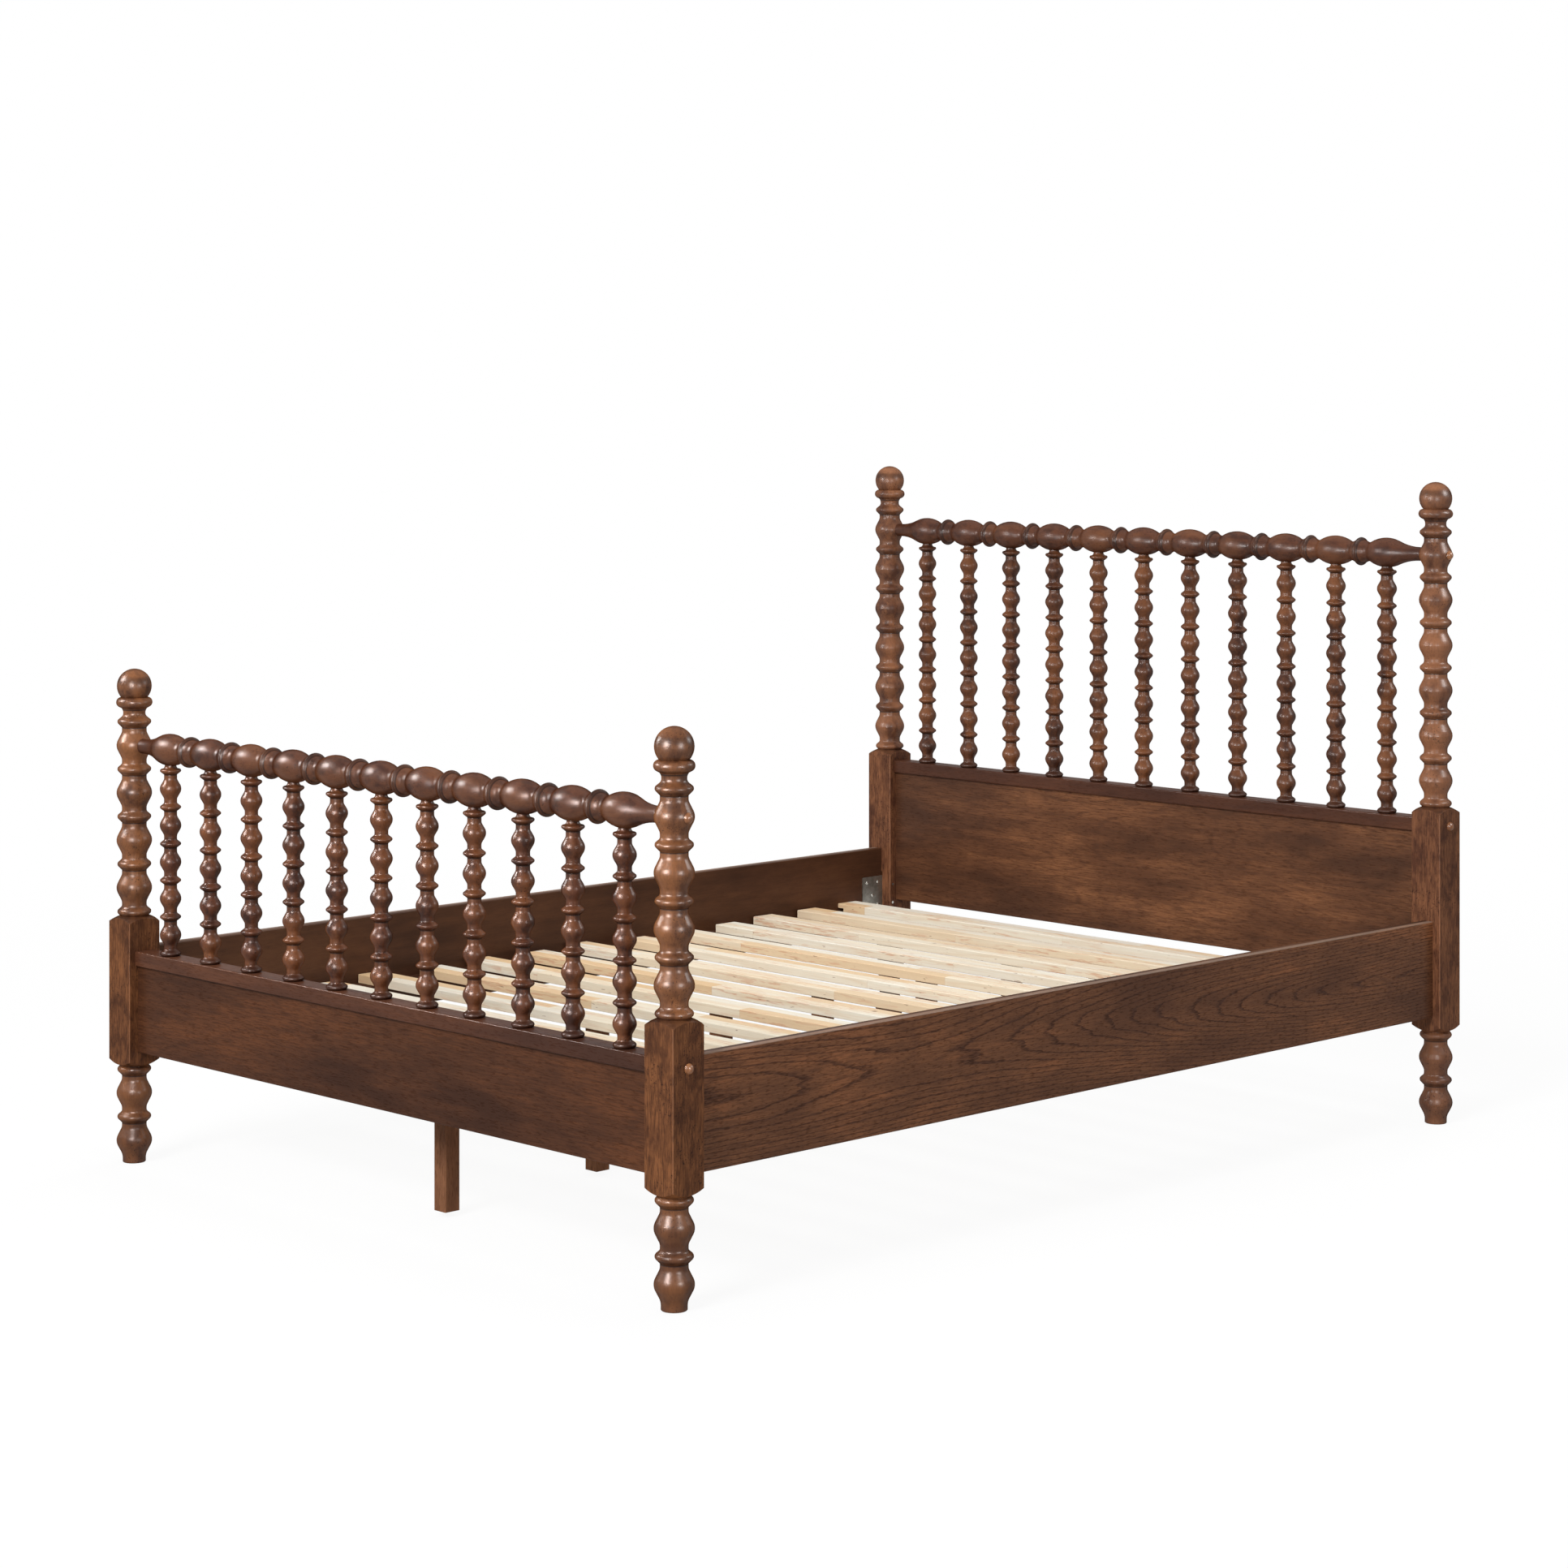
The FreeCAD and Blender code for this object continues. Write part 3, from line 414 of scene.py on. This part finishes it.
post_tones = {"foot": (paint(80, 48, 31), paint(121, 77, 49), paint(149, 96, 59)),
              "head": (paint(84, 52, 38), paint(124, 81, 56), paint(156, 104, 72))}
spindle_tones = {"foot": (paint(60, 33, 23), paint(99, 57, 37), paint(128, 77, 45)),
                 "head": (paint(64, 37, 26), paint(102, 62, 41), paint(130, 81, 50))}
top_rail_tones = paint(64, 37, 27), paint(92, 55, 38), paint(114, 71, 46)
ring_steps = {"foot": 5, "head": 7}         # from a spindle's first ring to its last
leg_shade_share, bead_darkening = 0.4, 0.85
# Painted shade: the posts' legs are darkened below their tops like the shadow under the bed.
painted_leg_shade = (leg_top - leg_shade_fade, leg_top, leg_shade_share)

for end in ("foot", "head"):
    posts = [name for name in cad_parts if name.startswith(end + "_post_")]
    spindles = sorted(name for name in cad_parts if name.startswith(end + "_spindle_"))
    rail = end + "_top_rail"
    first_ring = middle(rail).z - spindle_first_ring
    last_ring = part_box(end + "_cap_rail")[1].z + spindle_last_ring
    ring_pitch = (first_ring - last_ring) / ring_steps[end]
    darker_bead = (last_ring + bead_fade[0], last_ring + bead_fade[1], bead_darkening)
    dress(posts, turned_stain(
        "stained_" + end + "_post", upright, off_post_axis, from_post_crease(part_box(posts[0])[1].z),
        post_neck, post_tones[end], painted_leg_shade))
    dress(spindles, turned_stain(
        "stained_" + end + "_spindle", upright, off_spindle_axis,
        from_spindle_crease(first_ring, ring_pitch), spindle_neck, spindle_tones[end], darker_bead))
    dress([rail], turned_stain(
        "stained_" + rail, across_bed, off_rail_axis(middle(rail).z), from_rail_crease,
        rail_neck, top_rail_tones))


# ---- Cap rails and panels ----------------------------------------------------------------------------
# Plain stained rails over veneered boards, with the grain running across the bed. The veneer has
# cloudy orange and brown figuring with short dark pores. The panels are painted lighter toward the
# bed's right-hand side, as painted light.
board_lacquer = {"Specular IOR Level": 0.0, "Coat Roughness": 0.34, "Coat IOR": 1.5}
board_growth_lines = 15


def clouded(place, grain, tones, cloud_scale, streak_strength, pore_strength, painted_light_lean=0.0):
    """Stain in clouds drawn out along the grain, with fine streaks, growth lines and pores: its
    colour, streaks and pores. The lean paints it lighter toward the bed's right-hand side: painted
    light."""
    deep, mid, warm = tones
    cloud = noise(drawn_out(place, grain, 3.0, (1.1, 0.2, 2.3)), cloud_scale, 4.0, 0.6)
    band = noise(drawn_out(place, grain, 13.0, (0.6, 1.2, 0.3)), cloud_scale * 8, 4.0, 0.6)
    streak = noise(drawn_out(place, grain, 16.0), 340.0, 3.0, 0.62)
    pores = noise(drawn_out(place, grain, 8.0, (5, 3, 1)), 560.0, 1.0).fade(0.56, 0.66)
    level = noise(drawn_out(place, grain, 6.0, (0.3, 2.1, 0.8)), cloud_scale * 1.3, 1.0, 0.4, 0.2)
    growth = 1 - (level * board_growth_lines).math("PINGPONG", 0.5).fade(0.02, 0.16)
    # Painted light: the lean makes the boards lighter toward the bed's right-hand side.
    figure_and_painted_light = cloud * 0.74 + band * 0.26 + place.part("X") * painted_light_lean
    colour = figure_and_painted_light.fade(0.38, 0.52).between(deep, mid)
    colour = figure_and_painted_light.fade(0.49, 0.64).between(colour, warm)
    lines = streak.fade(0.44, 0.58) * streak_strength + growth * streak_strength * 0.5
    colour = lines.between(colour, deep)
    colour = (pores * pore_strength).between(colour, fleck_and_shade_brown)
    return colour, streak, pores


def board_stain(name, grain, tones, cloud_scale, streak_strength, pore_strength, gloss, painted_light_lean=0.0):
    material, tap, shader = new_material(name, board_lacquer)
    colour, streak, pores = clouded(
        tap.place(), grain, tones, cloud_scale, streak_strength, pore_strength, painted_light_lean)
    link(colour, shader, "Base Color")
    link(streak * 0.14 + 0.45, shader, "Roughness")
    link(gloss - pores * gloss * 0.5, shader, "Coat Weight")
    link(bump(streak * 0.4 - pores, grain_relief, grain_depth), shader, "Normal")
    return material


cap_rail_tones = paint(66, 39, 28), paint(82, 49, 34), paint(98, 60, 41)
foot_panel_tones = paint(60, 36, 25), paint(82, 50, 33), paint(101, 61, 38)
head_panel_tones = paint(74, 47, 33), paint(101, 65, 44), paint(132, 87, 58)
dress(["foot_cap_rail", "head_cap_rail"], board_stain(
    "stained_cap_rail", across_bed, cap_rail_tones, cloud_scale=6.0, streak_strength=0.30,
    pore_strength=0.16, gloss=0.26))
# The panels' lean is painted light, lighter toward the bed's right-hand side.
dress(["foot_panel"], board_stain(
    "veneer_foot_panel", across_bed, foot_panel_tones, cloud_scale=6.5, streak_strength=0.42,
    pore_strength=0.26, gloss=0.18, painted_light_lean=0.02))
dress(["head_panel"], board_stain(
    "veneer_head_panel", across_bed, head_panel_tones, cloud_scale=6.5, streak_strength=0.48,
    pore_strength=0.30, gloss=0.22, painted_light_lean=0.07))


# ---- Side rails --------------------------------------------------------------------------------------
# Deep boards of open-grained wood, with long arched growth lines on the outer face where the saw ran
# through the rings of the log, a plainer inner face painted darker as shade, and a pale strip painted
# along the upper edge as the lacquer's sheen. They are stained like the panels.
rail_middle = middle("side_rail_right")
rail_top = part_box("side_rail_right")[1].z
rail_tones = paint(92, 58, 39), paint(120, 78, 52), paint(150, 96, 62)
# the inner face's tones are painted darker, as painted shade
inner_shaded_tones = paint(68, 43, 30), paint(84, 54, 37), paint(98, 64, 43)
growth_dark = paint(66, 40, 30)
# a pale grey painted along the upper edge as the lacquer's sheen
painted_sheen_pale = paint(160, 138, 122)
rail_coat = 0.24
rail_relief, rail_depth = 0.14, 0.0006
face_fade = 0.003                               # from the board's middle to either face's stain
sheen_strip = (0.0022, 0.0006)                    # the upper edge's painted sheen strip, below its top
ring_width = 0.0062                             # from one growth line to the next
pith_behind, pith_behind_swing = 0.05, 0.24     # the log's pith lay behind the board, and strayed
pith_rise, pith_rise_swing = 0.012, 0.10        # it lay above the board's middle, and strayed

material, tap, shader = new_material("stained_side_rail", board_lacquer)
place = tap.place()
outer = abs(place.part("X")).fade(rail_middle.x - face_fade, rail_middle.x + face_fade)
along_only = tap.node("ShaderNodeMapping", {}, {
    "Vector": place, "Scale": (1, 1, 0), "Location": (7, 2, 4)})
pith_depth = (noise(along_only, 0.55, 1.0) - 0.5) * pith_behind_swing + pith_behind
pith_height = (noise(along_only, 0.9, 0.0) - 0.5) * pith_rise_swing + rail_middle.z + pith_rise
from_pith = (square(place.part("Z") - pith_height) + square(pith_depth)) ** 0.5
wander = noise(drawn_out(place, along_bed, 10.0), 26.0)
ragged = noise(drawn_out(place, along_bed, 8.0, (1, 4, 2)), 300.0, 1.0)
ring = (from_pith / ring_width + wander * 2.0 + ragged * 0.30).math("FRACT")
growth = ring.fade(0.0, 0.06) * (1 - ring.fade(0.08, 0.32))
coarse_pores = noise(drawn_out(place, along_bed, 7.0, (5, 3, 1)), 520.0, 1.0)
open_pores = (coarse_pores + growth * 0.10).fade(0.55, 0.66)
sheen_edge = place.part("Z").fade(rail_top - sheen_strip[0], rail_top - sheen_strip[1])

colour, streak = clouded(
    place, along_bed, rail_tones, cloud_scale=5.0, streak_strength=0.50, pore_strength=0.10)[:2]
colour = (growth * 0.66).between(colour, growth_dark)
colour = (open_pores * 0.36).between(colour, fleck_and_shade_brown)
# Painted sheen: a pale strip along the upper edge stands in for the lacquer's reflection.
colour = (sheen_edge * 0.5).between(colour, painted_sheen_pale)
# Painted shade: the plainer inner face gets darker tones than the outer face.
inner_shaded_colour = clouded(
    place, along_bed, inner_shaded_tones, cloud_scale=7.0, streak_strength=0.15, pore_strength=0.12)[0]
relief = streak * 0.4 - open_pores * outer - growth * outer * 0.4
link(outer.between(inner_shaded_colour, colour), shader, "Base Color")
link(streak * 0.14 + 0.45, shader, "Roughness")
link(rail_coat - open_pores * outer * 0.12, shader, "Coat Weight")
link(bump(relief, rail_relief, rail_depth), shader, "Normal")
dress(["side_rail_left", "side_rail_right"], material)


# ---- Slats -------------------------------------------------------------------------------------------
# Fourteen planed pine slats, laid loose, each glued up from short pieces of different tone in two
# rows side by side. They have faint growth lines, thin pinkish resin streaks and a few small knots.
slat_names = sorted(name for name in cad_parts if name.startswith("slat_") and "ledge" not in name)
slat_pitch = middle("slat_02").y - middle("slat_01").y
slat_middle = middle("slat_01").z
slat_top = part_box("slat_01")[1].z
piece_length = 0.60
pieces_start = 2.0              # they are counted from this far left of the bed's middle
row_move, piece_move = 3.7, 1.9 # the grain moves by these from one row or piece to the next
side_shade = (0.004, 0.0006)    # from this far above the slat's middle to this far below its top
joint_width = (0.0005, 0.0016)  # as a share of a piece
knot_size = (0.030, 0.060)      # as a share of the space between knots
knots_per_metre = 6.0
slat_growth_lines = 11
pine_relief, pine_depth = 0.12, 0.0005
pine_finish = {"Roughness": 0.65, "Specular IOR Level": 0.15}
piece_tones = [(0.0, paint(246, 239, 222)), (0.30, paint(240, 235, 222)), (0.55, paint(246, 234, 211)),
               (0.85, paint(240, 223, 196)), (0.97, paint(230, 196, 152))]
pine_warm = paint(240, 212, 172)
# a darker tan painted on the slats' sides as shade
pine_side_shade = paint(236, 212, 176)
pine_tan = paint(222, 190, 150)
pine_resin = paint(214, 158, 122)
speck_brown = paint(140, 96, 66)
knot_brown = paint(120, 78, 50)
joint_brown = paint(170, 130, 92)

material, tap, shader = new_material("pine", pine_finish)
place = tap.place()
row = (place.part("Y") / slat_pitch + (len(slat_names) + 1) / 2).math("FLOOR")
slide = tap.node("ShaderNodeTexWhiteNoise", {"noise_dimensions": "1D"}, {"W": row})
along = (place.part("X") + pieces_start) / piece_length + slide
piece = tap.node("ShaderNodeCombineXYZ", {}, {
    "X": row * row_move, "Y": along.math("FLOOR") * piece_move, "Z": 0.5})
tone = tap.node("ShaderNodeTexWhiteNoise", {"noise_dimensions": "3D"}, {"Vector": piece})
moved = tap.node("ShaderNodeVectorMath", {"operation": "ADD"}, {0: place, 1: piece})

fibre = noise(drawn_out(moved, across_bed, 40.0), 420.0, 3.0, 0.6)
warmth = noise(drawn_out(moved, across_bed, 10.0, (3, 1, 4)), 26.0)
level = noise(drawn_out(moved, across_bed, 14.0), 16.0, 1.0, 0.5, 0.3)
growth_line = 1 - ((level * slat_growth_lines).math("PINGPONG", 0.5) * 2).fade(0.0, 0.55)
resin = noise(drawn_out(moved, across_bed, 11.0, (2, 4, 1)), 230.0, 2.0, 0.6).fade(0.52, 0.62)
speck = noise(drawn_out(moved, across_bed, 6.0, (8, 1, 3)), 260.0, 1.0).fade(0.72, 0.78)
from_knot = tap.node("ShaderNodeTexVoronoi", {}, {"Vector": moved, "Scale": knots_per_metre})
from_joint = along.math("PINGPONG", 0.5)
top_face = place.part("Z").fade(slat_middle + side_shade[0], slat_top - side_shade[1])

colour = tone.node("ShaderNodeValToRGB", {"stops": piece_tones}, {"Fac": tone})
colour = (warmth.fade(0.45, 0.66) * 0.45).between(colour, pine_warm)
# Painted shade: the slats' sides are tinted a darker tan than their tops.
colour = ((1 - top_face) * 0.20).between(colour, pine_side_shade)
colour = (growth_line * 0.22).between(colour, pine_tan)
colour = (fibre.fade(0.46, 0.64) * 0.22).between(colour, pine_tan)
colour = (resin * warmth.fade(0.46, 0.60) * 0.62).between(colour, pine_resin)
colour = (speck * 0.6).between(colour, speck_brown)
colour = ((1 - from_knot.fade(*knot_size)) * 0.8).between(colour, knot_brown)
colour = ((1 - from_joint.fade(*joint_width)) * 0.16).between(colour, joint_brown)
link(colour, shader, "Base Color")
link(bump(fibre, pine_relief, pine_depth), shader, "Normal")
dress(slat_names, material)


# ---- Support legs and slat ledges --------------------------------------------------------------------
# Square legs under seven of the slats, each hung on a double-ended screw, and the ledges that are
# screwed along the side rails to carry the slats. All are of stained softwood.
support_leg_tones = paint(104, 68, 48), paint(132, 89, 63), paint(156, 108, 77)
ledge_tones = paint(62, 40, 30), paint(78, 51, 38), paint(92, 60, 44)
dress(["support_legs"], board_stain(
    "stained_leg", upright, support_leg_tones, cloud_scale=9.0, streak_strength=0.35,
    pore_strength=0.30, gloss=0.15))
dress(["slat_ledge_left", "slat_ledge_right"], board_stain(
    "stained_ledge", along_bed, ledge_tones, cloud_scale=9.0, streak_strength=0.30,
    pore_strength=0.25, gloss=0.10))


# ---- Steel plates, screws and bolts ------------------------------------------------------------------
# Zinc-plated steel plates with hooks on the ends of the side rails, their screws, the pins in the
# posts that the hooks drop onto, and the hidden bolts with their threaded brass sleeves.
brushed_relief, brushed_depth = 0.08, 0.0003


def metal(name, bright, dull, roughness):
    material, tap, shader = new_material(name, {"Metallic": 1.0})
    place = tap.place()
    cloud = noise(place, 90.0, 4.0, 0.6)
    brushed = noise(drawn_out(place, upright, 12.0), 1500.0)
    link(cloud.fade(0.35, 0.7).between(bright, dull), shader, "Base Color")
    link(cloud * 0.2 + brushed * 0.15 + (roughness - 0.15), shader, "Roughness")
    link(bump(brushed, brushed_relief, brushed_depth), shader, "Normal")
    return material


dress(["rail_brackets"], metal("zinc_plate", paint(150, 148, 140), paint(124, 121, 113), 0.42))
dress(["bracket_screws", "hook_pins", "ledge_screws", "post_bolts", "leg_bolts"],
      metal("zinc_screw", paint(200, 198, 190), paint(150, 148, 140), 0.35))
dress(["bolt_inserts"], metal("brass_insert", paint(190, 150, 84), paint(140, 108, 60), 0.35))


# ---- Bolt caps ---------------------------------------------------------------------------------------
# Turned mushroom plugs, pressed into the posts to hide the bolt heads. They are stained like the
# posts but rubbed lighter, and glossy.
cap_tones = paint(122, 76, 46), paint(148, 96, 60), paint(170, 115, 74)
dress(["bolt_caps"], board_stain(
    "stained_cap", upright, cap_tones, cloud_scale=60.0, streak_strength=0.20,
    pore_strength=0.15, gloss=0.70))
